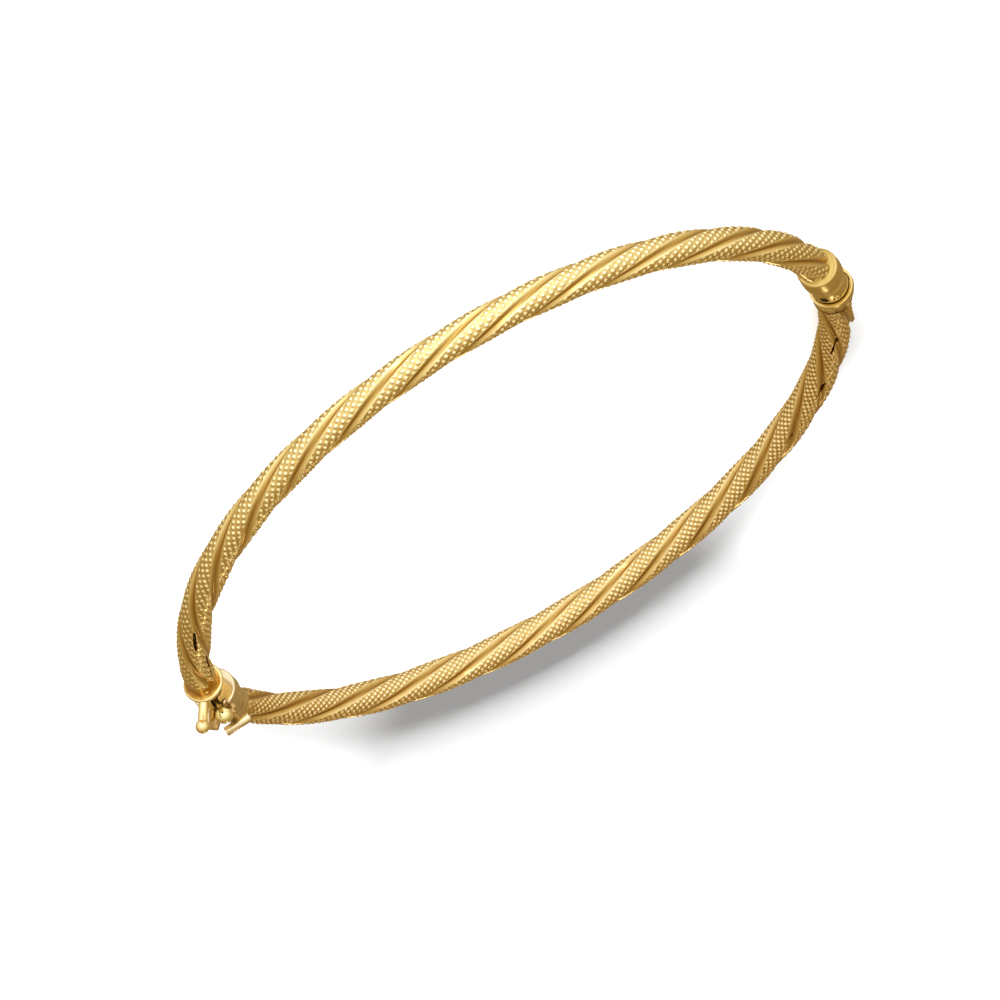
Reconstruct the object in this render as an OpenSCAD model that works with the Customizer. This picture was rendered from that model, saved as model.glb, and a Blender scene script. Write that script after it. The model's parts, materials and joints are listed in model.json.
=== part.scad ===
// Hinged oval bangle of hollow gold tube, fluted and twisted. Two half hoops meet at a pinned hinge
// (-X) and at a box and tongue clasp (+X). Millimetres, +Z up. The bangle lies on its side; the
// origin is at the middle of the wrist opening, on the surface that the bangle lies on.

/* [Bangle] */
// Inside length of the oval, from the hinge to the clasp
inside_length = 62.4; // [56:0.1:70]
// Inside width of the oval, across the two arms
inside_width = 51.8; // [46:0.1:60]
// Length of the tongue arm over which it flares out to the clasp
tongue_arm_flare = 10; // [6:0.5:20]
// Length of the box arm over which it flares out to the clasp
box_arm_flare = 20; // [12:0.5:30]

/* [Twisted tube] */
// Diameter over the crests of the beaded lobes
tube_d = 3.05; // [2.8:0.05:3.2]
// Wall of the tube
tube_wall = 0.25; // [0.2:0.01:0.35]
// Number of flutes around the tube
flutes = 4; // [3:1:5]
// Depth of a smooth flute below the edges of the lobes
flute_depth = 0.24; // [0.1:0.01:0.3]
// Part of the way round that the smooth flutes take
flute_share = 0.36; // [0.25:0.01:0.5]
// Height of a lobe's crown above its edges
lobe_crown = 0.06; // [0.02:0.01:0.1]
// Length of one full left-handed turn of the flutes
twist_lead = 27.7; // [20:0.1:40]
// Place of a flute at the middle of the tongue arm, from the outer side towards +Z, in degrees
tongue_arm_turn = 66; // [0:1:90]
// Place of a flute at the middle of the box arm, from the outer side towards +Z, in degrees
box_arm_turn = 72; // [0:1:90]
// Diameter of the smooth neck at the clasp end of each arm
neck_d = 2.3; // [2.1:0.05:2.4]
// Length over which the tube narrows to its neck
neck_length = 1.6; // [1.5:0.1:4]

/* [Clasp cup and peg] */
// Distance of the clasp's parting face from the long axis of the oval
parting_y = 1; // [0.8:0.05:1.2]
// Outward shift of the clasp's fittings from the centre line of the oval
clasp_shift = 0.65; // [0.4:0.05:0.8]
// Length of the cup
cup_length = 2.15; // [2:0.05:2.4]
// Inside diameter of the cup's mouth
mouth_d = 2.9; // [2.8:0.05:3]
// Depth of the cup's flared mouth
mouth_depth = 0.5; // [0.4:0.05:0.6]
// Depth to which the neck is seated beyond the flared mouth
neck_seat = 0.4; // [0.3:0.05:0.5]
// Thickness of the cup's rolled lip
lip_d = 0.44; // [0.36:0.02:0.5]
// Diameter of the cup where it meets its rolled lip
cup_d = 3.4; // [3.3:0.05:3.5]
// Diameter of the cup at the parting face
cup_end_d = 1.9; // [1.8:0.05:2.2]
// Diameter of the peg that a safety catch snaps over
peg_d = 0.9; // [0.6:0.05:1]
// Diameter of the peg's ball
peg_ball_d = 1.3; // [1.1:0.05:1.5]
// Distance of the peg's ball from the clasp's centre line
peg_reach = 4.03; // [3.6:0.01:4.4]
// Lean of the peg from +Z to the outside, in degrees
peg_lean = 31; // [20:1:40]
// Distance of the peg behind the parting face
peg_setback = 1.65; // [1.5:0.05:1.7]

/* [Clasp tongue] */
// Thickness of the folded leaf
leaf_t = 0.26; // [0.2:0.02:0.3]
// Width of the leaf
leaf_w = 1.3; // [1.1:0.05:1.4]
// Outside height of the folded leaf
tongue_h = 1; // [0.8:0.05:1.05]
// Reach of the tongue beyond the parting face
tongue_reach = 1.95; // [1.85:0.05:2]
// Depth to which the leaf is seated in the cup
tongue_seat = 0.5; // [0.4:0.05:0.6]
// Diameter of the thumb ball
thumb_d = 1.6; // [1.4:0.05:1.65]
// Height of the thumb ball's centre above the clasp's centre line
thumb_height = 2.43; // [2.35:0.01:2.7]
// Outward shift of the thumb ball from the clasp's centre line
thumb_shift = 0.22; // [0.1:0.02:0.24]
// Distance of the thumb ball beyond the parting face
thumb_reach = 0.7; // [0.65:0.05:0.8]
// Diameter of the thumb ball's stem
stem_d = 0.5; // [0.4:0.05:0.55]

/* [Clasp box] */
// Diameter of the box
box_d = 4.14; // [4:0.02:4.3]
// Shift of the box towards the wrist from the clasp's centre line
box_shift = 0.2; // [0:0.05:0.25]
// Distance of the box's back from the parting face
box_length = 2.4; // [2.35:0.05:2.6]
// Rounding of the box's front edge
box_round = 0.2; // [0.05:0.05:0.3]
// Length over which the box keeps its full diameter
drum_length = 1.3; // [1.2:0.05:1.5]
// Length of the shoulder behind that, which narrows to the sleeve
shoulder_length = 0.8; // [0.6:0.05:0.85]
// Drop of the shoulder to its back edge, on the radius
shoulder_drop = 0.27; // [0.15:0.01:0.28]
// Thickness of the box's front plate
plate_t = 0.3; // [0.2:0.05:0.4]
// Room above the tongue behind the front plate, which its catch springs into
catch_room = 0.4; // [0.2:0.05:0.5]
// Gap around the thumb ball in its notch, on the wrist side
notch_gap = 0.18; // [0.12:0.02:0.24]
// Height of the notch's floor above the clasp's centre line, on the wrist side of the stem
notch_floor = 1.4; // [1.3:0.05:1.5]
// Length of the sleeve that holds the neck of the box arm
sleeve_length = 1; // [0.8:0.05:1.2]
// Wall of the sleeve at its end
sleeve_wall = 0.32; // [0.25:0.01:0.36]
// Diameter of the sleeve as far as the box's back
sleeve_foot_d = 3.4; // [3.2:0.05:3.4]
// Height of the guard's front corner, from the clasp's centre line
guard_reach = 3.55; // [3.3:0.05:3.8]
// Fall of the guard's top edge away from the parting face
guard_fall = 0.4; // [0.1:0.05:0.6]
// Length of the guard beyond the parting face
guard_length = 2.25; // [1.6:0.05:2.3]
// Thickness of the guard
guard_t = 0.4; // [0.25:0.05:0.45]
// Rounding of the guard's two corners
guard_round = 0.5; // [0.2:0.1:0.7]
// Lean of the guard from +Z to the outside, in degrees
guard_lean = 42; // [40:1:44]
// Distance of the guard's face from the clasp's centre line
guard_offset = 0.6; // [0.52:0.02:0.64]

/* [Safety tube] */
// Outside diameter of the safety tube
safety_d = 0.92; // [0.8:0.02:1]
// Bore of the safety tube
safety_bore_d = 0.4; // [0.3:0.05:0.5]
// Length of the safety tube
safety_length = 2.55; // [2:0.05:3]
// Distance of the safety tube beyond the parting face
safety_reach = 3.1; // [3:0.05:3.4]
// Height of the safety tube above the clasp's centre line
safety_height = 2.69; // [2.5:0.01:2.8]
// Shift of the safety tube towards the wrist from the clasp's centre line
safety_shift = 0.13; // [0:0.01:0.3]
// Width of the saddle that carries the safety tube
saddle_w = 0.9; // [0.6:0.05:1.2]

/* [Hinge] */
// Distance of the hinge pin from the long axis of the oval
pin_y = 1.66; // [1.5:0.02:1.8]
// Diameter of the hinge pin
pin_d = 0.6; // [0.5:0.05:0.7]
// Height of each peened pin end above the knuckle
pin_proud = 0.05; // [0.02:0.01:0.1]
// Diameter of the knuckle's ball
ball_d = 3.6; // [3.4:0.05:3.7]
// Greatest diameter of the knuckle's collar
collar_d = 3.96; // [3.9:0.02:4.04]
// Length of the collar, from its mouth to its waist
collar_length = 2.8; // [2.7:0.05:2.9]
// Distance from the waist of the collar to the hinge pin
waist_to_pin = 0.9; // [0.85:0.05:1]
// Narrowing of the collar at its waist, on the radius
waist_drop = 0.28; // [0.24:0.02:0.32]
// Distance from the hinge pin at which the cone from the waist meets the ball
cone_to_pin = 0.3; // [0.3:0.05:0.5]
// Depth to which the tongue arm is seated in the collar
collar_seat = 1; // [0.8:0.05:1.1]
// Thickness of the collar's rolled rim
rim_d = 0.6; // [0.5:0.02:0.64]
// Outside diameter of the collar's rolled rim
rim_outside_d = 3.84; // [3.8:0.02:3.9]
// Outside diameter of the hinge cup
hinge_cup_d = 4.1; // [4.04:0.02:4.2]
// Distance from the hinge pin to the mouth of the hinge cup
cup_mouth = 0.74; // [0.7:0.02:0.85]
// Length of the part of the hinge cup that keeps its full diameter
cup_band = 0.5; // [0.3:0.05:0.7]
// Length of the sleeve that holds the hinge end of the box arm
cup_sleeve_length = 0.55; // [0.5:0.05:0.8]
// Wall of that sleeve
cup_sleeve_wall = 0.2; // [0.15:0.01:0.25]
// Floor between the hinge cup's socket and the arm
cup_floor = 0.2; // [0.15:0.05:0.3]
// Thickness of the hinge lug
lug_t = 0.7; // [0.5:0.05:0.8]
// Width of the hinge lug
lug_w = 2.2; // [1.8:0.05:2.3]
// Length of the thin tab that lies beside the box arm
tab_length = 2.6; // [2:0.1:3]
// Width of the tab
tab_w = 0.4; // [0.3:0.05:0.5]
// Thickness of the tab
tab_t = 0.2; // [0.15:0.05:0.3]
// Turn of the tab around the arm, from +Z to the outside, in degrees
tab_lean = 25; // [10:1:40]

/* [Fits] */
// Gap around a piece that is seated in another
seat_fit = 0.05; // [0.03:0.01:0.06]
// Gap between the hinge pin and the lug that turns on it
pin_fit = 0.04; // [0.02:0.01:0.06]
// Gap between the two halves at the clasp's parting face
parting_gap = 0.08; // [0.05:0.01:0.12]
// Gap around the tongue in the box
tongue_fit = 0.12; // [0.08:0.01:0.15]
// Gap between the knuckle's ball and the hinge cup
ball_fit = 0.1; // [0.08:0.01:0.12]

/* [Hidden] */
$fn = 64;
overcut = 0.01;

// Places shared by the two halves
path_a = (inside_length + tube_d) / 2;
path_b = (inside_width + tube_d) / 2;
axis_z = max(box_d, collar_d, hinge_cup_d) / 2;
clasp_x = path_a + clasp_shift;
hinge_x = -path_a;
cup_end_y = parting_y - parting_gap;
cup_mouth_y = cup_end_y - cup_length;
box_end_y = parting_y + box_length;
sleeve_end_y = box_end_y + sleeve_length;
tongue_end_y = parting_y + tongue_reach;
leaf_top = tongue_h / 2;
catch_top = leaf_top + catch_room;
tube_bore_d = tube_d + 2 * seat_fit;
neck_bore_d = neck_d + 2 * seat_fit;
socket_d = ball_d + 2 * ball_fit;
cup_back_y = pin_y + socket_d / 2 + cup_floor;
collar_mouth_y = pin_y - waist_to_pin - collar_length;

// Arc length along the oval, counted from the clasp and anticlockwise seen from +Z
function oval_point(t) = [path_a * cos(t), path_b * sin(t)];
function degree_length(t) = norm(oval_point(t + 1) - oval_point(t));
arc_table = [for (t = 0, s = 0; t <= 360; s = s + degree_length(t), t = t + 1) [s, t]];
hoop_length = arc_table[360][0];
half_length = hoop_length / 2;

// Centre line of the tube: the oval, flared out to the clasp at +X
function smooth(u) = let (c = max(0, min(1, u))) c * c * (3 - 2 * c);
function from_clasp(s) = min(s, hoop_length - s);
function flare_length(s) = s > half_length ? tongue_arm_flare : box_arm_flare;
function flare(s) = clasp_shift * smooth(1 - from_clasp(s) / flare_length(s));
function outward(s) = let (t = lookup(s, arc_table), n = [path_b * cos(t), path_a * sin(t)]) n / norm(n);
function centre(s) = oval_point(lookup(s, arc_table)) + flare(s) * outward(s);
function along(s) = let (v = centre(s + 0.1) - centre(s - 0.1)) v / norm(v);

// Ends of the two arms along that line, and the ends of their necks
tongue_arm_from = half_length - collar_mouth_y - collar_seat;
tongue_arm_to = hoop_length + cup_mouth_y + mouth_depth + neck_seat - seat_fit;
box_arm_from = box_end_y + seat_fit;
box_arm_to = half_length - cup_back_y - seat_fit;

// Section of the tube: each lobe starts and ends at an edge, with the flute's crease between lobes
pitch = 360 / flutes;
edge = flute_share / 2;
lobe_steps = 4;
lobe_turns = [for (i = [0:lobe_steps]) edge + (1 - 2 * edge) * i / lobe_steps];
section_turns = [for (f = [0:flutes - 1], u = concat([0], lobe_turns)) pitch * (f + u)];
section_points = len(section_turns);
edge_r = tube_d / 2 - lobe_crown;
function lobe_r(u) = edge_r + lobe_crown * sin(180 * (u - edge) / (1 - 2 * edge));
function flute_r(u) = edge_r - flute_depth * (1 - min(u, 1 - u) / edge);
function section_r(turn) = let (u = turn / pitch - floor(turn / pitch))
    u < edge || u > 1 - edge ? flute_r(u) : lobe_r(u);

// One ring of the tube at arc length s, its flutes turned and its radius drawn in to the neck
function ring(s, turn, neck_end, inset) = let (
        c = centre(s), n = outward(s), neck_r = neck_d / 2,
        fill = smooth((from_clasp(s) - neck_end) / neck_length))
    [for (a = section_turns) let (r = neck_r + fill * (section_r(a) - neck_r) - inset, b = a + turn)
        [c[0] + r * cos(b) * n[0], c[1] + r * cos(b) * n[1], axis_z + r * sin(b)]];

// Triangles between two rings of the section, whose points start at i and j
function band(i, j) = [for (k = [0:section_points - 1]) let (m = (k + 1) % section_points)
    each [[i + k, j + m, j + k], [i + k, i + m, j + m]]];

// Hollow arm between two arc lengths, with a ring about every ring_step and half as many in the bore
ring_step = 1;
module arm(from_s, to_s, middle_s, turn, neck_end) {
    spans = 2 * round((to_s - from_s) / ring_step / 2);
    function rings(step, inset) = [for (i = [0:step:spans]) let (s = from_s + (to_s - from_s) * i / spans)
        each ring(s, turn + 360 * (s - middle_s) / twist_lead, neck_end, inset)];
    last = section_points * spans;
    bore = last + section_points;
    bore_last = bore + last / 2;
    outer_sides = [for (i = [0:section_points:last - 1]) each band(i, i + section_points)];
    bore_sides = [for (i = [bore:section_points:bore_last - 1]) each band(i + section_points, i)];
    polyhedron(concat(rings(1, 0), rings(2, tube_wall)),
        concat(outer_sides, bore_sides, band(bore, 0), band(last, bore_last)));
}

module tongue_arm() {
    color("goldenrod")
        arm(tongue_arm_from, tongue_arm_to, 1.5 * half_length, tongue_arm_turn, -cup_mouth_y);
}

module box_arm() {
    color("goldenrod")
        arm(box_arm_from, box_arm_to, 0.5 * half_length, box_arm_turn, sleeve_end_y);
}

// Places children on the centre line at arc length s, with their +Y along the tube
module at_arc(s) {
    v = along(s);
    translate([centre(s)[0], centre(s)[1], axis_z]) rotate([0, 0, atan2(v[1], v[0]) - 90]) children();
}

// Turns a shape about +Z into one about +Y
module along_y(x, y) translate([x, y, axis_z]) rotate([-90, 0, 0]) children();

// Rod along +Y between two distances, of one diameter or tapered
module rod_y(from_y, to_y, from_d, to_d)
    translate([0, from_y, 0]) rotate([-90, 0, 0]) cylinder(d1 = from_d, d2 = to_d, h = to_y - from_y);

// Block between two corners
module block(low, high) translate(low) cube(high - low);

// Block around a stretch of the folded leaf, larger than it by gap
module leaf_block(from_y, to_y, low, high, gap) {
    half = leaf_w / 2 + gap;
    block([clasp_x - half, from_y, axis_z + low - gap], [clasp_x + half, to_y, axis_z + high + gap]);
}

// Cup: a rolled lip and a bowl that narrows to the parting face
module cup_outside() {
    lip_r = (mouth_d + lip_d) / 2;
    bend = cup_length / 2;
    along_y(clasp_x, cup_mouth_y) rotate_extrude() {
        translate([lip_r, lip_d / 2]) circle(d = lip_d);
        polygon([[0, lip_d / 2], [cup_d / 2, lip_d / 2], [(cup_d + cup_end_d) / 4 + lip_d / 4, bend],
                 [cup_end_d / 2, cup_length - lip_d / 2], [cup_end_d / 2, cup_length], [0, cup_length]]);
    }
}

// Peg with its ball, soldered to the cup
module peg() {
    foot = neck_bore_d / 2;
    translate([clasp_x, parting_y - peg_setback, axis_z]) rotate([0, peg_lean, 0]) {
        translate([0, 0, foot]) cylinder(d = peg_d, h = peg_reach - foot);
        translate([0, 0, peg_reach]) sphere(d = peg_ball_d);
    }
}

module clasp_cup() {
    flare_end = cup_mouth_y + mouth_depth;
    color("gold") difference() {
        union() {
            cup_outside();
            peg();
        }
        translate([clasp_x, 0, axis_z]) {
            rod_y(cup_mouth_y, flare_end, mouth_d, neck_bore_d);
            rod_y(flare_end - overcut, flare_end + neck_seat, neck_bore_d, neck_bore_d);
        }
        leaf_block(cup_end_y - tongue_seat - seat_fit, parting_y, -leaf_top, leaf_t - leaf_top, seat_fit);
    }
}

// Tongue: a leaf folded back on itself, shown pressed, with the thumb ball on its free end
module clasp_tongue() {
    fold_y = tongue_end_y - leaf_top;
    color("gold") {
        leaf_block(cup_end_y - tongue_seat, fold_y, -leaf_top, leaf_t - leaf_top, 0);
        leaf_block(parting_y + plate_t + tongue_fit, fold_y, leaf_top - leaf_t, leaf_top, 0);
        translate([clasp_x, fold_y, axis_z]) rotate([0, 90, 0]) intersection() {
            difference() {
                cylinder(r = leaf_top, h = leaf_w, center = true);
                cylinder(r = leaf_top - leaf_t, h = leaf_w + overcut, center = true);
            }
            block([-leaf_top, 0, -leaf_w], [leaf_top, leaf_top, leaf_w]);
        }
        translate([clasp_x + thumb_shift, parting_y + thumb_reach, axis_z]) {
            translate([0, 0, leaf_top - leaf_t]) cylinder(d = stem_d, h = thumb_height - leaf_top);
            translate([0, 0, thumb_height]) sphere(d = thumb_d);
        }
    }
}

// Drum of the box, with a rounded front edge and a shoulder at its back
module drum() {
    r = box_d / 2 - box_round;
    low_r = box_d / 2 - shoulder_drop;
    back = drum_length + shoulder_length;
    front = [for (a = [0:15:90]) [r + box_round * sin(a), box_round - box_round * cos(a)]];
    shoulder = [for (a = [90:-15:0])
        [low_r + shoulder_drop * sin(a), back - shoulder_length * (1 - cos(a))]];
    along_y(clasp_x - box_shift, parting_y) rotate_extrude()
        polygon(concat([[0, 0]], front, shoulder, [[0, back]]));
}

// Points of a quarter circle of the guard's rounding, clockwise from an angle
function guard_corner(x, y, from_angle) =
    [for (a = [from_angle:-15:from_angle - 90]) [x + guard_round * cos(a), y + guard_round * sin(a)]];

// Guard: a leaning plate beside the thumb ball, on the outer side, with two rounded corners
module guard_plate() {
    front = guard_corner(guard_round, guard_reach - guard_round, 180);
    back = guard_corner(guard_length - guard_round, guard_reach - guard_fall - guard_round, 90);
    translate([clasp_x, parting_y, axis_z]) rotate([0, guard_lean, 0])
        translate([-guard_offset, 0, 0]) rotate([90, 0, 90]) linear_extrude(guard_t)
            polygon(concat([[0, 0]], front, back, [[guard_length, 0]]));
}

// Notch for the thumb ball and its stem, open at the parting face and round behind the ball on the
// wrist side; the guard is its outer side
module thumb_notch() {
    low = leaf_top - leaf_t;
    top = guard_reach + box_d;
    notch_r = thumb_d / 2 + notch_gap;
    inner = thumb_shift - 2 * notch_r;
    slot = stem_d / 2 + tongue_fit;
    outer = thumb_shift + slot;
    foot = (guard_offset - overcut + outer * cos(guard_lean)) / sin(guard_lean);
    depth = thumb_reach + 2 * notch_r;
    round_side = [for (a = [180:-15:90]) [notch_r * cos(a), notch_r * sin(a)]];
    intersection() {
        translate([clasp_x, parting_y + depth, axis_z]) rotate([90, 0, 0]) linear_extrude(depth + overcut)
            polygon([[thumb_shift - slot, low], [outer, low], [outer, foot],
                     [outer + (top - foot) * tan(guard_lean), top], [inner, top],
                     [inner, notch_floor], [thumb_shift - slot, notch_floor]]);
        translate([clasp_x + thumb_shift, parting_y + thumb_reach, axis_z]) linear_extrude(top + overcut)
            polygon(concat([[-notch_r, -2 * thumb_reach]], round_side,
                           [[top, notch_r], [top, -2 * thumb_reach]]));
    }
}

// Safety tube on its saddle
module safety_tube() {
    translate([clasp_x - safety_shift, parting_y + safety_reach, axis_z]) {
        block([-saddle_w / 2, -safety_d / 2, 0], [saddle_w / 2, 0, safety_height]);
        translate([-safety_length / 2, 0, safety_height]) rotate([0, 90, 0])
            cylinder(d = safety_d, h = safety_length);
    }
}

module safety_bore() {
    reach = safety_length / 2 + overcut;
    translate([clasp_x - safety_shift - reach, parting_y + safety_reach, axis_z + safety_height])
        rotate([0, 90, 0]) cylinder(d = safety_bore_d, h = 2 * reach);
}

module clasp_box() {
    color("gold") difference() {
        union() {
            drum();
            guard_plate();
            safety_tube();
            at_arc(box_end_y) {
                rod_y(-shoulder_length - box_round, 0, sleeve_foot_d, sleeve_foot_d);
                rod_y(0, sleeve_length, sleeve_foot_d, neck_bore_d + 2 * sleeve_wall);
            }
        }
        thumb_notch();
        safety_bore();
        leaf_block(parting_y - overcut, tongue_end_y, -leaf_top, leaf_top, tongue_fit);
        leaf_block(parting_y + plate_t, tongue_end_y + tongue_fit, -leaf_top, catch_top, tongue_fit);
        at_arc(box_end_y) rod_y(0, sleeve_length + overcut, neck_bore_d, neck_bore_d);
    }
}

// Knuckle: a rolled rim and a collar that narrows to its waist, then a short cone and the hinge's ball
module knuckle_outside() {
    half = collar_length / 2;
    arc_r = (half * half + waist_drop * waist_drop) / (2 * waist_drop);
    waist_r = collar_d / 2 - waist_drop;
    cone_r = sqrt(ball_d * ball_d / 4 - cone_to_pin * cone_to_pin);
    cone_end = half + waist_to_pin - cone_to_pin;
    along_y(hinge_x, collar_mouth_y + half) rotate_extrude() {
        intersection() {
            translate([collar_d / 2 - arc_r, 0]) circle(r = arc_r);
            translate([0, rim_d / 2 - half]) square([collar_d, collar_length - rim_d / 2]);
        }
        translate([(rim_outside_d - rim_d) / 2, rim_d / 2 - half]) circle(d = rim_d);
        polygon([[0, half - overcut], [waist_r, half - overcut], [cone_r, cone_end], [0, cone_end]]);
    }
    translate([hinge_x, pin_y, axis_z]) sphere(d = ball_d);
}

module hinge_knuckle() {
    slot_back = lug_w / 2 + seat_fit;
    slot_half = lug_t / 2 + seat_fit;
    color("gold") difference() {
        knuckle_outside();
        at_arc(tongue_arm_from) rod_y(-seat_fit, collar_seat + rim_d, tube_bore_d, tube_bore_d);
        block([hinge_x - ball_d, pin_y - slot_back, axis_z - slot_half],
              [hinge_x + ball_d, pin_y + ball_d, axis_z + slot_half]);
        translate([hinge_x, pin_y, 0]) cylinder(d = pin_d + 2 * seat_fit, h = 2 * axis_z);
    }
}

// Lug that turns on the pin in the knuckle's slot, soldered into the hinge cup
module lug() {
    half = lug_w / 2;
    difference() {
        union() {
            translate([hinge_x, pin_y, axis_z]) cylinder(d = lug_w, h = lug_t, center = true);
            block([hinge_x - half, pin_y, axis_z - lug_t / 2],
                  [hinge_x + half, cup_back_y - cup_floor / 2, axis_z + lug_t / 2]);
        }
        translate([hinge_x, pin_y, 0]) cylinder(d = pin_d + 2 * pin_fit, h = 2 * axis_z);
    }
}

// Thin tab from the hinge cup along the upper outer side of the box arm
module tab() {
    low = tube_d / 2 + cup_sleeve_wall;
    at_arc(half_length - cup_back_y - cup_sleeve_length) rotate([0, tab_lean, 0])
        block([-tab_w / 2, -tab_length, low], [tab_w / 2, cup_sleeve_length, low + tab_t]);
}

module hinge_cup() {
    mouth_y = pin_y + cup_mouth;
    sleeve_d = tube_bore_d + 2 * cup_sleeve_wall;
    color("gold") {
        difference() {
            union() {
                translate([hinge_x, 0, axis_z]) {
                    rod_y(mouth_y, mouth_y + cup_band, hinge_cup_d, hinge_cup_d);
                    rod_y(mouth_y + cup_band, cup_back_y, hinge_cup_d, sleeve_d);
                }
                at_arc(half_length - cup_back_y) rod_y(-cup_sleeve_length, cup_floor, sleeve_d, sleeve_d);
                tab();
            }
            translate([hinge_x, pin_y, axis_z]) sphere(d = socket_d);
            at_arc(half_length - cup_back_y)
                rod_y(-cup_sleeve_length - overcut, 0, tube_bore_d, tube_bore_d);
        }
        lug();
    }
}

module hinge_pin() {
    reach = ball_d / 2 + pin_proud;
    color("darkgoldenrod") translate([hinge_x, pin_y, axis_z - reach]) cylinder(d = pin_d, h = 2 * reach);
}

tongue_arm();
box_arm();
clasp_cup();
clasp_tongue();
clasp_box();
hinge_knuckle();
hinge_cup();
hinge_pin();
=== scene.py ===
"""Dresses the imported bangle: beaded and fluted gold arms, polished fittings, floor, light and camera."""
import json
import math

import bpy
import numpy as np
from mathutils import Matrix, Vector


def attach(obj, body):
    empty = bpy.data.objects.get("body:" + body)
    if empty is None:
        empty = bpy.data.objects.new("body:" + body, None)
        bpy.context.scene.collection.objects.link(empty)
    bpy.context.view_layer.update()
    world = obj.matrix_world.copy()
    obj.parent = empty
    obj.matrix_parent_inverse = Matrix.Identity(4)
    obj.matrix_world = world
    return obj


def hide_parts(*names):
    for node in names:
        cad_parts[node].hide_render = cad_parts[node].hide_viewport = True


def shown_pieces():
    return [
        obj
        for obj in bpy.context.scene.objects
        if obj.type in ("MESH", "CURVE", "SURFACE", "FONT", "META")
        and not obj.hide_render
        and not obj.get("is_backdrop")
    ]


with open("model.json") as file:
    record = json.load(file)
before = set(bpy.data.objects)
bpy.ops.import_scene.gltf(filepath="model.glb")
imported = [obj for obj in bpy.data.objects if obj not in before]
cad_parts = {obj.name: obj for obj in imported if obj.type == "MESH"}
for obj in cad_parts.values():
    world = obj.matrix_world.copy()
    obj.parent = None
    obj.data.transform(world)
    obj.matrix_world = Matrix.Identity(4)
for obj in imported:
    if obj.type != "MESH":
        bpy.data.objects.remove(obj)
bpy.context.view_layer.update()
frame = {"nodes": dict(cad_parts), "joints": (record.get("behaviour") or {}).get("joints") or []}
MM = 0.001

# Sizes of the hoop in millimetres. The hinge pin's place in the frame gives its half length and its height.
PIN_PLACE = frame["joints"][0]["pos_m"]
PATH_A = -PIN_PLACE[0] / MM
AXIS_Z = PIN_PLACE[2] / MM
TUBE_D = 3.05
INSIDE_WIDTH = 51.8
PATH_B = (INSIDE_WIDTH + TUBE_D) / 2
CLASP_SHIFT = 0.65
FLARE_LENGTH_BOX = 20.0
FLARE_LENGTH_TONGUE = 10.0
TUBE_WALL = 0.25
TWIST_LEAD = 27.7
FLUTES = 4
FLUTE_DEPTH = 0.26
FLUTE_SHARE = 0.36
LOBE_CROWN = 0.06
NECK_D = 2.3
NECK_LENGTH = 1.6

# Beads on the lobes: radius, height, sinking of the ground between them, and fading towards the lobes' edges
BEAD_R = 0.2
BEAD_HEIGHT = 0.095
BEAD_SINK = 0.4
BEAD_FADE = 0.14
TEXTURE_R = 1.5
# Height of the lowest bead as a share of the usual one, and by how much the highest is above it
BEAD_LOW = 0.85
BEAD_SPREAD = 0.3
# Length of bare metal beside each neck, and the length over which the beads then rise
BARE_LENGTH = 0.7
BEAD_RISE = 1.8
# Tone of the lobes' edges, and of the flutes' creases, which are darker as painted shade
EDGE_TONE = 0.62
CREASE_PAINTED_SHADE = 0.12
# Share of the painted shading that is left to the slits, below the grooves between the beads: the slits are
# darkened as painted shade
SLIT_SHARE = 0.3
SLIT_DEPTH = 0.2

# Finest steps of the arms' meshes
RING_STEP = 0.066
LOBE_COLUMNS = 24
FLUTE_COLUMNS = 4
BORE_RINGS = 60
OVAL_POINTS = 14401


# Shape of the hoop
def oval_table():
    """Turn of the oval and the arc length reached there, from the clasp."""
    turn = np.linspace(0, 2 * np.pi, OVAL_POINTS)
    points = np.stack([PATH_A * np.cos(turn), PATH_B * np.sin(turn)], 1)
    arc = np.concatenate([[0], np.cumsum(np.linalg.norm(np.diff(points, axis=0), axis=1))])
    return turn, arc


OVAL_TURN, OVAL_ARC = oval_table()
HOOP_LENGTH = OVAL_ARC[-1]
HALF_LENGTH = HOOP_LENGTH / 2


def smooth(u):
    c = np.clip(u, 0, 1)
    return c * c * (3 - 2 * c)


def from_clasp(s):
    """Arc length to the clasp, the shorter way round."""
    return np.minimum(s, HOOP_LENGTH - s)


def outward(s):
    """Unit normal of the oval at arc length s, level and away from the wrist."""
    turn = np.interp(s, OVAL_ARC, OVAL_TURN)
    n = np.stack([PATH_B * np.cos(turn), PATH_A * np.sin(turn)], -1)
    return n / np.linalg.norm(n, axis=-1, keepdims=True)


def centre(s):
    """Middle of the tube at arc length s. Both arms flare outward towards the clasp."""
    turn = np.interp(s, OVAL_ARC, OVAL_TURN)
    flare_length = np.where(s > HALF_LENGTH, FLARE_LENGTH_TONGUE, FLARE_LENGTH_BOX)
    flare = CLASP_SHIFT * smooth(1 - from_clasp(s) / flare_length)
    oval = np.stack([PATH_A * np.cos(turn), PATH_B * np.sin(turn)], -1)
    return oval + flare[..., None] * outward(s)


# Section of the tube, as shares of one flute's pitch
EDGE = FLUTE_SHARE / 2
PITCH = 2 * math.pi / FLUTES
EDGE_R = TUBE_D / 2 - LOBE_CROWN
FLUTE_ROUND = 0.16


def section_shares():
    rise = np.linspace(0, EDGE, FLUTE_COLUMNS + 1)
    lobe = np.linspace(EDGE, 1 - EDGE, LOBE_COLUMNS + 1)
    fall = np.linspace(1 - EDGE, 1, FLUTE_COLUMNS + 1)
    return np.concatenate([rise[:-1], lobe[:-1], fall[:-1]])


SHARES = section_shares()
PITCH_COLUMNS = len(SHARES)
COLUMNS = FLUTES * PITCH_COLUMNS


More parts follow.
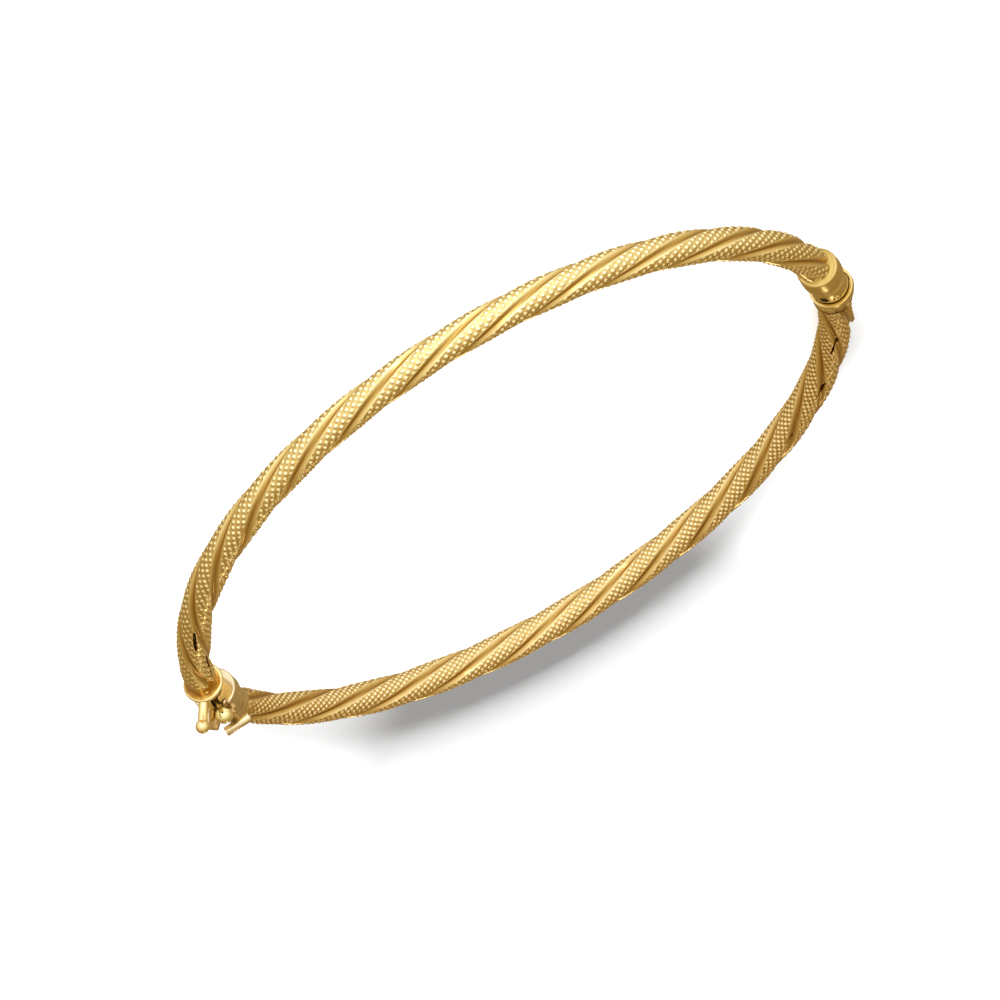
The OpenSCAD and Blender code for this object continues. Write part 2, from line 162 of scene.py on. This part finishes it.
def section_radius(u):
    """Radius of the plain section at each share of a flute's pitch, before the beads."""
    from_crease = np.minimum(u, 1 - u) / EDGE
    rise = np.sqrt(from_crease**2 + FLUTE_ROUND**2) - FLUTE_ROUND
    rounded = rise / (math.hypot(1, FLUTE_ROUND) - FLUTE_ROUND)
    lobe = EDGE_R + LOBE_CROWN * np.sin(np.pi * np.clip((u - EDGE) / (1 - 2 * EDGE), 0, 1))
    flute = EDGE_R - FLUTE_DEPTH * (1 - np.clip(rounded, 0, 1))
    return np.where(from_crease < 1, flute, lobe)


def edge_fade(lobe_share):
    """1 in the middle of a lobe, falling to 0 at its edges."""
    edge_gap = np.minimum(lobe_share, 1 - lobe_share) * TEXTURE_R * PITCH * (1 - 2 * EDGE)
    return smooth(edge_gap / BEAD_FADE)


def scatter(p, q):
    """Number from 0 to 1 that looks random, and is the same for the same bead in each run."""
    return np.abs(np.sin(p * 12.9898 + q * 78.233) * 43758.5453) % 1


def bead_lift(s, across, step_b, step_c, lobe_share):
    """Height of the beads from 0 to 1. Their centres lie on a slanting square lattice."""
    (bs, bw), (cs, cw) = step_b, step_c
    area = bs * cw - bw * cs
    p = (s * cw - across * cs) / area
    q = (across * bs - s * bw) / area
    pr = p - np.round(p)
    qr = q - np.round(q)
    spread = scatter(np.round(p), np.round(q))
    away = np.hypot(pr * bs + qr * cs, pr * bw + qr * cw)
    dome = np.clip(1 - (away / BEAD_R) ** 2, 0, 1)
    return dome * (BEAD_LOW + BEAD_SPREAD * spread) * edge_fade(lobe_share)


# Arms: span of arc length, where the twist is counted from and its turn there, end of the neck, tone of the
# ground between the beads, which is painted shade, share of the gold's colour, below one as painted shade,
# steps from bead to bead (along, across), and slits (start, end, first and last angle in degrees, half
# width)
ARMS = {
    "tongue_arm": {
        "body": "tongue_half",
        "span": (HALF_LENGTH + 1.04, HOOP_LENGTH - 0.38),
        "middle": 1.5 * HALF_LENGTH,
        "turn": math.radians(66),
        "neck_end": 1.23,
        "ground": 0.42,
        "tint": (1.0, 1.0, 1.0),
        "steps": ((0.41, 0.32), (0.35, -0.40)),
        "slits": (
            (177.2, 180.2, 60, 72, 0.13),
            (181.8, 184.2, 115, 127, 0.16),
            (183.6, 187.2, 126, 134, 0.07),
        ),
    },
    "box_arm": {
        "body": "box_half",
        "span": (3.45, HALF_LENGTH - 3.81),
        "middle": 0.5 * HALF_LENGTH,
        "turn": math.radians(72),
        "neck_end": 4.4,
        # The box arm's darker ground and its share of the gold's colour below one are painted shade
        "ground": 0.34,
        "tint": (0.91, 0.86, 0.83),
        "steps": ((0.375, 0.275), (0.285, -0.335)),
        "slits": (
            (69.8, 71.2, 113, 109, 0.08),
            (76.4, 78.6, 107, 103, 0.12),
            (82.8, 85.6, 124, 105, 0.1),
        ),
    },
}


def slit_cut(s, angle, slits):
    """Depth from 0 to 1 of the open seams, each a lens along the arm between two places and two angles."""
    cut = 0 * s * angle
    for start, end, first, last, half_width in slits:
        along = (s - start) / (end - start)
        line = np.radians(first + (last - first) * along)
        across = np.abs((angle - line + np.pi) % (2 * np.pi) - np.pi) * TEXTURE_R
        width = half_width * np.sqrt(np.clip(4 * along * (1 - along), 1e-6, 1))
        cut = np.maximum(cut, smooth(1.5 - across / width) * (along > 0) * (along < 1))
    return cut


def arm_grid(arm, rings, with_beads=True, inset=0.0):
    """Points, normals and painted shading of an arm, as rings by columns."""
    s = np.linspace(arm["span"][0], arm["span"][1], rings)[:, None]
    u = np.tile(SHARES, FLUTES)[None, :]
    flute = np.repeat(np.arange(FLUTES), PITCH_COLUMNS)[None, :]
    angle = arm["turn"] + 2 * math.pi * (s - arm["middle"]) / TWIST_LEAD + (flute + u) * PITCH
    fill = smooth((from_clasp(s) - arm["neck_end"]) / NECK_LENGTH)
    radius = NECK_D / 2 + fill * (section_radius(u) - NECK_D / 2) - inset
    lobe_share = np.clip((u - EDGE) / (1 - 2 * EDGE), 0, 1)
    beads = bead_lift(s, TEXTURE_R * angle, *arm["steps"], lobe_share) * (u > EDGE) * (u < 1 - EDGE)
    beads = beads * smooth((from_clasp(s) - arm["neck_end"] - BARE_LENGTH) / BEAD_RISE)
    cut = slit_cut(s, angle, arm["slits"])
    if with_beads:
        radius = radius + BEAD_HEIGHT * (beads - BEAD_SINK * fill * edge_fade(lobe_share))
        radius = radius - SLIT_DEPTH * cut
    c = centre(s[:, 0])
    n = outward(s[:, 0])
    points = np.stack([
        c[:, 0:1] + radius * np.cos(angle) * n[:, 0:1],
        c[:, 1:2] + radius * np.cos(angle) * n[:, 1:2],
        AXIS_Z + radius * np.sin(angle)], -1)
    along = np.gradient(points, axis=0)
    around = np.roll(points, -1, 1) - np.roll(points, 1, 1)
    normals = np.cross(along, around)
    normals /= np.linalg.norm(normals, axis=-1, keepdims=True)
    # Painted shading: darker as painted shade in the ground between the beads and in the flutes' creases,
    # paler as painted highlight on the bead tops, and darkened as painted shade in the slits
    crease = np.clip(np.minimum(u, 1 - u) / EDGE, 0, 1) + 0 * s
    ground = EDGE_TONE + (arm["ground"] - EDGE_TONE) * edge_fade(lobe_share)
    lobe_painted_shading = ground + (1 - ground) * beads
    flute_painted_shading = CREASE_PAINTED_SHADE + (EDGE_TONE - CREASE_PAINTED_SHADE) * crease
    painted_shading = np.where((u > EDGE) & (u < 1 - EDGE), lobe_painted_shading, flute_painted_shading)
    painted_shading = EDGE_TONE + fill * (painted_shading - EDGE_TONE)
    painted_shading = (SLIT_SHARE + (1 - SLIT_SHARE) * painted_shading) * (1 - cut)
    return points, normals, painted_shading


def strip_faces(rings, columns, closed=False):
    """Four-sided faces of a grid of points, closed into a tube or left open."""
    i = np.arange(rings - 1)[:, None] * columns
    j = np.arange(columns if closed else columns - 1)[None, :]
    k = (j + 1) % columns
    return np.stack([i + j, i + k, i + columns + k, i + columns + j], -1).reshape(-1, 4)


def mesh_object(name, points, faces, normals=None, painted_shading=None):
    """Smooth mesh in the scene, from points in millimetres."""
    mesh = bpy.data.meshes.new(name)
    mesh.vertices.add(len(points))
    mesh.vertices.foreach_set("co", np.asarray(points * MM, np.float32).ravel())
    mesh.loops.add(faces.size)
    mesh.loops.foreach_set("vertex_index", faces.ravel().astype(np.int32))
    mesh.polygons.add(len(faces))
    mesh.polygons.foreach_set("loop_start", np.arange(0, faces.size, faces.shape[1], dtype=np.int32))
    mesh.polygons.foreach_set("use_smooth", np.ones(len(faces), bool))
    mesh.update(calc_edges=True)
    mesh.validate()
    if painted_shading is not None:
        layer = mesh.attributes.new("painted_shading", "FLOAT", "POINT")
        layer.data.foreach_set("value", np.asarray(painted_shading, np.float32).ravel())
    if normals is not None:
        mesh.normals_split_custom_set_from_vertices(normals.tolist())
    obj = bpy.data.objects.new(name, mesh)
    bpy.context.scene.collection.objects.link(obj)
    return obj


def columns_object(name, grid, sets):
    """One mesh of several strips, each between two columns of the grid."""
    rings = len(grid[0])
    parts = [np.arange(a, b + 1) % COLUMNS for a, b in sets]
    faces = []
    offset = 0
    for part in parts:
        faces.append(strip_faces(rings, len(part)) + offset)
        offset += rings * len(part)
    points, normals, painted_shading = [
        np.concatenate([layer[:, part].reshape(rings * len(part), -1) for part in parts]) for layer in grid]
    return mesh_object(name, points, np.concatenate(faces)[:, ::-1], normals, painted_shading)


# Scales of the noise in the materials
BEAD_GRAIN = 5200
PLAIN_GRAIN = 2600
PLAIN_PATCHES = 320
SOLDER_WAVES = 1100
FLOOR_PATCHES = 3
# Share of the full colour in the darker patches of plain gold
PATCH_SHARE = 0.93


# Materials
def nodes_of(name):
    material = bpy.data.materials.new(name)
    material.use_nodes = True
    tree = material.node_tree
    return material, tree.nodes, tree.links, tree.nodes["Principled BSDF"]


def noise(nodes, links, scale, detail):
    coordinates = nodes.new("ShaderNodeTexCoord")
    texture = nodes.new("ShaderNodeTexNoise")
    texture.inputs["Scale"].default_value = scale
    texture.inputs["Detail"].default_value = detail
    links.new(coordinates.outputs["Object"], texture.inputs["Vector"])
    return texture


def ramp(nodes, links, source, stops):
    node = nodes.new("ShaderNodeValToRGB")
    elements = node.color_ramp.elements
    while len(elements) < len(stops):
        elements.new(0.5)
    for element, (position, colour) in zip(elements, stops):
        element.position = position
        element.color = (*colour, 1)
    links.new(source, node.inputs["Fac"])
    return node


def bump(nodes, links, source, strength, distance, shader):
    node = nodes.new("ShaderNodeBump")
    node.inputs["Strength"].default_value = strength
    node.inputs["Distance"].default_value = distance
    links.new(source, node.inputs["Height"])
    links.new(node.outputs["Normal"], shader.inputs["Normal"])


def roughness_range(nodes, links, source, low, high, shader):
    node = nodes.new("ShaderNodeMapRange")
    node.inputs["To Min"].default_value = low
    node.inputs["To Max"].default_value = high
    links.new(source, node.inputs["Value"])
    links.new(node.outputs["Result"], shader.inputs["Roughness"])


def beaded_gold(name, share):
    """Gold whose colour holds painted shade, darker and redder in its grooves than on its beads and nearly
    black in its slits, and a painted highlight on the bead tops.
    """
    material, nodes, links, shader = nodes_of(name)
    shader.inputs["Metallic"].default_value = 1
    painted_shading = nodes.new("ShaderNodeAttribute")
    painted_shading.attribute_name = "painted_shading"
    # Near black as painted shade in the slits, dark red as painted shade in the grooves, pale as painted
    # highlight on the bead tops
    stops = [(0.0, (0.02, 0.008, 0.001)), (SLIT_SHARE, (0.20, 0.09, 0.01)), (0.40, (0.44, 0.25, 0.05)),
             (0.55, (0.62, 0.41, 0.12)), (0.73, (0.88, 0.70, 0.31)), (1.0, (0.99, 0.89, 0.55))]
    # The arm's share scales the colour down as painted shade on the box arm
    painted_shading_stops = [(place, tuple(c * s for c, s in zip(colour, share))) for place, colour in stops]
    tint = ramp(nodes, links, painted_shading.outputs["Fac"], painted_shading_stops)
    links.new(tint.outputs["Color"], shader.inputs["Base Color"])
    grain = noise(nodes, links, BEAD_GRAIN, 3)
    roughness_range(nodes, links, grain.outputs["Fac"], 0.16, 0.30, shader)
    bump(nodes, links, grain.outputs["Fac"], 0.25, 0.00002, shader)
    return material


# Colour of the painted shade in a pit, and the share of its radius that is darkest
PAINTED_PIT_SHADE = (0.03, 0.012, 0.001)
PIT_CORE = 0.6


def paint_pit_shade(nodes, links, source, spots):
    """Painted shade of pits, as dark spots in the colour and not holes: each spot is a place and a radius in
    millimetres.
    """
    coordinates = nodes.new("ShaderNodeTexCoord")
    for place, radius in spots:
        away = nodes.new("ShaderNodeVectorMath")
        away.operation = "DISTANCE"
        away.inputs[1].default_value = [c * MM for c in place]
        links.new(coordinates.outputs["Object"], away.inputs[0])
        share = nodes.new("ShaderNodeMapRange")
        share.inputs["From Min"].default_value = PIT_CORE * radius * MM
        share.inputs["From Max"].default_value = radius * MM
        links.new(away.outputs["Value"], share.inputs["Value"])
        mix = nodes.new("ShaderNodeMix")
        mix.data_type = "RGBA"
        mix.inputs["A"].default_value = (*PAINTED_PIT_SHADE, 1)
        links.new(share.outputs["Result"], mix.inputs["Factor"])
        links.new(source, mix.inputs["B"])
        source = mix.outputs["Result"]
    return source


def plain_gold(name, colour, low, high, spots=()):
    """Smooth gold in faint patches, with a fine grain, and painted shade at the spots given."""
    material, nodes, links, shader = nodes_of(name)
    shader.inputs["Metallic"].default_value = 1
    patches = noise(nodes, links, PLAIN_PATCHES, 2)
    darker = tuple(c * PATCH_SHARE for c in colour)
    tint = ramp(nodes, links, patches.outputs["Fac"], [(0.35, darker), (0.65, colour)])
    with_painted_pits = paint_pit_shade(nodes, links, tint.outputs["Color"], spots)
    links.new(with_painted_pits, shader.inputs["Base Color"])
    grain = noise(nodes, links, PLAIN_GRAIN, 3)
    roughness_range(nodes, links, grain.outputs["Fac"], low, high, shader)
    bump(nodes, links, grain.outputs["Fac"], 0.12, 0.00001, shader)
    return material


def solder_gold():
    """Redder gold that has run and set in soft waves."""
    material, nodes, links, shader = nodes_of("solder_gold")
    shader.inputs["Metallic"].default_value = 1
    waves = noise(nodes, links, SOLDER_WAVES, 3)
    tint = ramp(nodes, links, waves.outputs["Fac"], [(0.36, (0.56, 0.26, 0.02)), (0.62, (0.88, 0.58, 0.16))])
    links.new(tint.outputs["Color"], shader.inputs["Base Color"])
    roughness_range(nodes, links, waves.outputs["Fac"], 0.12, 0.22, shader)
    bump(nodes, links, waves.outputs["Fac"], 0.6, 0.00012, shader)
    return material


def floor_paper():
    material, nodes, links, shader = nodes_of("floor_paper")
    patches = noise(nodes, links, FLOOR_PATCHES, 2)
    tint = ramp(nodes, links, patches.outputs["Fac"], [(0.3, (0.86, 0.86, 0.86)), (0.7, (0.87, 0.87, 0.87))])
    links.new(tint.outputs["Color"], shader.inputs["Base Color"])
    shader.inputs["Roughness"].default_value = 0.9
    return material


# Arms
def dress_arm(node, arm, material):
    """Replaces an arm by its lobes in two pieces, its flutes and its bore."""
    length = arm["span"][1] - arm["span"][0]
    grid = arm_grid(arm, int(length / RING_STEP))
    lobe_from = FLUTE_COLUMNS
    lobe_to = lobe_from + LOBE_COLUMNS
    starts = [f * PITCH_COLUMNS for f in range(FLUTES)]
    lobe_sets = [(start + lobe_from, start + lobe_to) for start in starts]
    flute_sets = [(start + lobe_to, start + PITCH_COLUMNS + lobe_from) for start in starts]
    half = FLUTES // 2
    lobes = [columns_object(node + "_lobes_first", grid, lobe_sets[:half]),
             columns_object(node + "_lobes_last", grid, lobe_sets[half:])]
    flutes = columns_object(node + "_flutes", grid, flute_sets)
    inside = arm_grid(arm, BORE_RINGS, with_beads=False, inset=TUBE_WALL)[0]
    bore_points = np.concatenate([grid[0][:1], inside, grid[0][-1:]])
    bore_faces = strip_faces(BORE_RINGS + 2, COLUMNS, closed=True)
    bore = mesh_object(node + "_bore", bore_points.reshape(-1, 3), bore_faces)
    for piece in (*lobes, flutes, bore):
        piece.data.materials.append(material)
        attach(piece, arm["body"])
    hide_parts(node)


for node, arm in ARMS.items():
    dress_arm(node, arm, beaded_gold(node + "_gold", arm["tint"]))

# Painted shade in the fittings, as dark spots in the gold's colour: a pit on the thumb ball and a pocket at
# the hinge knuckle, each a place and a radius in millimetres
BALL_PIT_SHADE = ((33.49, 0.91, 4.61), 0.13)
KNUCKLE_POCKET_SHADE = ((-31.6, 1.45, 3.44), 0.5)
# Golds of the fittings, with the lowest and highest roughness of each
polished = plain_gold("polished_gold", (0.88, 0.68, 0.30), 0.14, 0.22)
pale = plain_gold("pale_gold", (0.76, 0.60, 0.33), 0.18, 0.28)
satin = plain_gold("satin_gold", (0.73, 0.54, 0.19), 0.24, 0.34)
# The tongue's gold carries a painted shade spot for the pit on its ball
pit_shaded = plain_gold("pit_shaded_gold", (0.86, 0.72, 0.32), 0.18, 0.26, spots=[BALL_PIT_SHADE])
rim = plain_gold("rim_gold", (0.62, 0.42, 0.11), 0.2, 0.3)
# The knuckle's gold carries a painted shadow spot for the shaded pocket at the knuckle
pocket_shaded = plain_gold("pocket_shaded_gold", (0.71, 0.51, 0.17), 0.24, 0.34, spots=[KNUCKLE_POCKET_SHADE])
solder = solder_gold()


# Softened edges: the distance at which points are joined, in metres, and the least angle in degrees
WELD_DISTANCE = 0.000002
BEVEL_ANGLE = 40


def soften(node, width):
    """Rounds a fitting's edges by a width in millimetres."""
    obj = frame["nodes"][node]
    weld = obj.modifiers.new("weld", "WELD")
    weld.merge_threshold = WELD_DISTANCE
    bevel = obj.modifiers.new("bevel", "BEVEL")
    bevel.width = width * MM
    bevel.segments = 2
    bevel.limit_method = "ANGLE"
    bevel.angle_limit = math.radians(BEVEL_ANGLE)
    bevel.harden_normals = True
    for polygon in obj.data.polygons:
        polygon.use_smooth = True


# Each fitting's gold and the width of its rounded edges
FITTINGS = {
    "clasp_cup": (polished, 0.03),
    "clasp_tongue": (pit_shaded, 0.03),
    "clasp_box": (pale, 0.03),
    "hinge_knuckle": (pocket_shaded, 0.03),
    "hinge_cup": (satin, 0.04),
    "hinge_pin": (satin, 0.05),
}
for node, (material, width) in FITTINGS.items():
    frame["nodes"][node].data.materials.clear()
    frame["nodes"][node].data.materials.append(material)
    soften(node, width)

LATHE_POINTS = 64


def solder_ring(name, profile, s, body, material):
    """Ring of solder at arc length s, from a profile of radii and places along the tube's line."""
    turn = np.linspace(0, 2 * np.pi, LATHE_POINTS, endpoint=False)
    middle = centre(np.array([s - 0.05, s + 0.05]))
    along = (middle[1] - middle[0]) / np.linalg.norm(middle[1] - middle[0])
    side = np.array([along[1], -along[0]])
    points = []
    for radius, place in profile:
        flat = middle.mean(0) + place * along
        ring = flat + radius * np.cos(turn)[:, None] * side
        points.append(np.column_stack([ring, AXIS_Z + radius * np.sin(turn)]))
    faces = strip_faces(len(profile), LATHE_POINTS, closed=True)[:, ::-1]
    obj = mesh_object(name, np.concatenate(points), faces)
    obj.data.materials.append(material)
    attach(obj, body)


# Arc lengths of the mouths that the solder fills
CUP_MOUTH = HOOP_LENGTH - 1.23
SLEEVE_MOUTH = 4.4
COLLAR_MOUTH = HALF_LENGTH + 2.04
HINGE_SLEEVE_MOUTH = HALF_LENGTH - 4.335
# Fillets of solder: radius and distance out of the mouth
CUP_FILLET = [(1.76, -0.12), (1.68, -0.03), (1.57, 0.06), (1.49, 0.25), (1.47, 0.55), (1.43, 0.85),
              (1.36, 1.1), (1.26, 1.35), (1.12, 1.6)]
SLEEVE_FILLET = [(1.50, -0.12), (1.495, 0.0), (1.48, 0.3), (1.46, 0.6), (1.42, 0.9), (1.34, 1.2),
                 (1.24, 1.45), (1.12, 1.7)]
TUBE_FILLET = [(1.8, -0.1), (1.72, 0.0), (1.62, 0.05), (1.52, 0.11), (1.41, 0.2), (1.32, 0.31), (1.22, 0.43),
               (1.14, 0.52)]


def facing_back(fillet):
    return [(radius, -place) for radius, place in reversed(fillet)]


solder_ring("clasp_cup_solder", facing_back(CUP_FILLET), CUP_MOUTH, "tongue_half", solder)
solder_ring("clasp_sleeve_solder", SLEEVE_FILLET, SLEEVE_MOUTH, "box_half", pale)
solder_ring("hinge_knuckle_solder", TUBE_FILLET, COLLAR_MOUTH, "tongue_half", rim)
solder_ring("hinge_cup_solder", facing_back(TUBE_FILLET), HINGE_SLEEVE_MOUTH, "box_half", rim)

# Camera, fitted to the photograph: elevation, turn about the vertical and roll in radians, distance in
# millimetres, focal length in pixels, and the pixel at which the middle of the hoop lies
ELEVATION = 0.49429
HEADING = math.radians(-5)
ROLL = 2.59470
DISTANCE = 680.7
FOCAL_PX = 7642.1
CENTRE_PX = (516.95, 480.0)
IMAGE_PX = 1000
SENSOR = 36.0


def view_axes():
    back = Vector((math.sin(HEADING) * math.cos(ELEVATION), -math.cos(HEADING) * math.cos(ELEVATION),
                   math.sin(ELEVATION)))
    level = Vector((math.cos(HEADING), math.sin(HEADING), 0))
    upright = level.cross(-back)
    right = level * math.cos(ROLL) + upright * math.sin(ROLL)
    up = upright * math.cos(ROLL) - level * math.sin(ROLL)
    return right, up, back


RIGHT, UP, BACK = view_axes()
MIDDLE = Vector((0, 0, AXIS_Z * MM))


def add_camera():
    data = bpy.data.cameras.new("camera")
    camera = bpy.data.objects.new("camera", data)
    bpy.context.scene.collection.objects.link(camera)
    placed = Matrix((RIGHT, UP, BACK)).transposed().to_4x4()
    placed.translation = MIDDLE + BACK * DISTANCE * MM
    camera.matrix_world = placed
    data.sensor_width = SENSOR
    data.lens = FOCAL_PX * SENSOR / IMAGE_PX
    data.shift_x = -(CENTRE_PX[0] - IMAGE_PX / 2) / IMAGE_PX
    data.shift_y = (CENTRE_PX[1] - IMAGE_PX / 2) / IMAGE_PX
    data.clip_start = 0.01
    data.clip_end = 20
    bpy.context.scene.camera = camera


# Lights. The gold reflects the world and the boxes, and the floor has lights of its own.
# Turn about the vertical and rise, in degrees, of the world's brightest side
KEY_TURN = 255
KEY_RISE = -4
WORLD_STOPS = [
    (0.0, (0.38, 0.27, 0.12)),
    (0.35, (0.54, 0.42, 0.24)),
    (0.6, (0.98, 0.90, 0.76)),
    (0.85, (1.38, 1.42, 1.56)),
    (1.0, (1.58, 1.68, 2.05)),
]


def direction(turn_deg, rise_deg):
    turn = math.radians(turn_deg)
    rise = math.radians(rise_deg)
    return Vector((math.cos(turn) * math.cos(rise), math.sin(turn) * math.cos(rise), math.sin(rise)))


# Area lights: side that each one stands on, distance and size in metres, power in watts, what it lights, and
# what casts its shadows where not everything does
FLOOR_LIGHTS = {
    "floor_fill": (Vector((0, 0, 1)), 3.0, (3, 3), 42, "floor", "floor"),
    "floor_key": (direction(258, 13.4), 2.0, (1.2, 0.33), 188, "floor", "far_arm"),
}
GOLD_LIGHTS = {
    "near_box": (direction(256, 4), 0.8, (0.6, 0.5), 0.5, "near_arm", None),
    "low_box": (direction(256, -28), 0.8, (0.6, 0.4), 0.5, "near_arm", "gold"),
    "front_box": (direction(258, 6), 0.8, (0.2, 0.2), 0.5, "gold", None),
    "back_box": (direction(72, 36), 0.8, (0.12, 0.12), 0.25, "gold", None),
}
# Spots: arc length, distance out of the far arm's line in millimetres, and full angle in degrees
SPOT_LIGHTS = {
    "clasp_lift": (14, 11, 11),
    "hinge_lift": (66, 11, 10),
}
SPOT_POWER = 1.15
SPOT_HEIGHT = 0.2


def collection_of(name, objects):
    group = bpy.data.collections.new(name)
    for obj in objects:
        group.objects.link(obj)
    return group


def area_light(name, groups, towards, distance, size, power, lit, blockers):
    data = bpy.data.lights.new(name, "AREA")
    data.shape = "RECTANGLE"
    data.size, data.size_y = size
    data.energy = power
    light = bpy.data.objects.new(name, data)
    bpy.context.scene.collection.objects.link(light)
    light.location = MIDDLE + towards * distance
    light.rotation_euler = towards.to_track_quat("Z", "Y").to_euler()
    light.light_linking.receiver_collection = groups[lit]
    if blockers:
        light.light_linking.blocker_collection = groups[blockers]


def spot_light(name, groups, s, out, angle):
    """Spot straight down on the floor outside the far arm, which softens one end of its shadow."""
    data = bpy.data.lights.new(name, "SPOT")
    data.energy = SPOT_POWER
    data.spot_size = math.radians(angle)
    data.spot_blend = 1
    light = bpy.data.objects.new(name, data)
    bpy.context.scene.collection.objects.link(light)
    place = centre(np.array([s]))[0] + out * outward(np.array([s]))[0]
    light.location = (place[0] * MM, place[1] * MM, SPOT_HEIGHT)
    light.light_linking.receiver_collection = groups["floor"]
    light.light_linking.blocker_collection = groups["floor"]


FLOOR_HALF = 2000.0


def add_floor():
    """Pale floor that the gold doesn't reflect."""
    corners = [(-1, -1, 0), (1, -1, 0), (1, 1, 0), (-1, 1, 0)]
    points = FLOOR_HALF * np.array(corners)
    floor = mesh_object("floor", points, np.array([[0, 1, 2, 3]]))
    floor.data.materials.append(floor_paper())
    floor.visible_glossy = False
    floor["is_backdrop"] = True
    return floor


def add_world():
    world = bpy.data.worlds.new("studio")
    bpy.context.scene.world = world
    world.use_nodes = True
    world.cycles_visibility.diffuse = False
    nodes = world.node_tree.nodes
    links = world.node_tree.links
    coordinates = nodes.new("ShaderNodeTexCoord")
    facing = nodes.new("ShaderNodeVectorMath")
    facing.operation = "DOT_PRODUCT"
    facing.inputs[1].default_value = direction(KEY_TURN, KEY_RISE)
    links.new(coordinates.outputs["Generated"], facing.inputs[0])
    share = nodes.new("ShaderNodeMapRange")
    share.inputs["From Min"].default_value = -1
    links.new(facing.outputs["Value"], share.inputs["Value"])
    shade = ramp(nodes, links, share.outputs["Result"], WORLD_STOPS)
    links.new(shade.outputs["Color"], nodes["Background"].inputs["Color"])


def add_lights(floor):
    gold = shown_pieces()
    groups = {
        "floor": collection_of("lit_floor", [floor]),
        "gold": collection_of("lit_gold", gold),
        "near_arm": collection_of("lit_near_arm", [o for o in gold if o.name.startswith("tongue_arm")]),
        "far_arm": collection_of("shadow_casters", [o for o in gold if o.name.startswith("box_arm")]),
    }
    for name, light in FLOOR_LIGHTS.items():
        area_light(name, groups, *light)
    for name, light in SPOT_LIGHTS.items():
        spot_light(name, groups, *light)
    for name, light in GOLD_LIGHTS.items():
        area_light(name, groups, *light)


add_camera()
add_world()
add_lights(add_floor())
bpy.context.scene.view_settings.view_transform = "Standard"
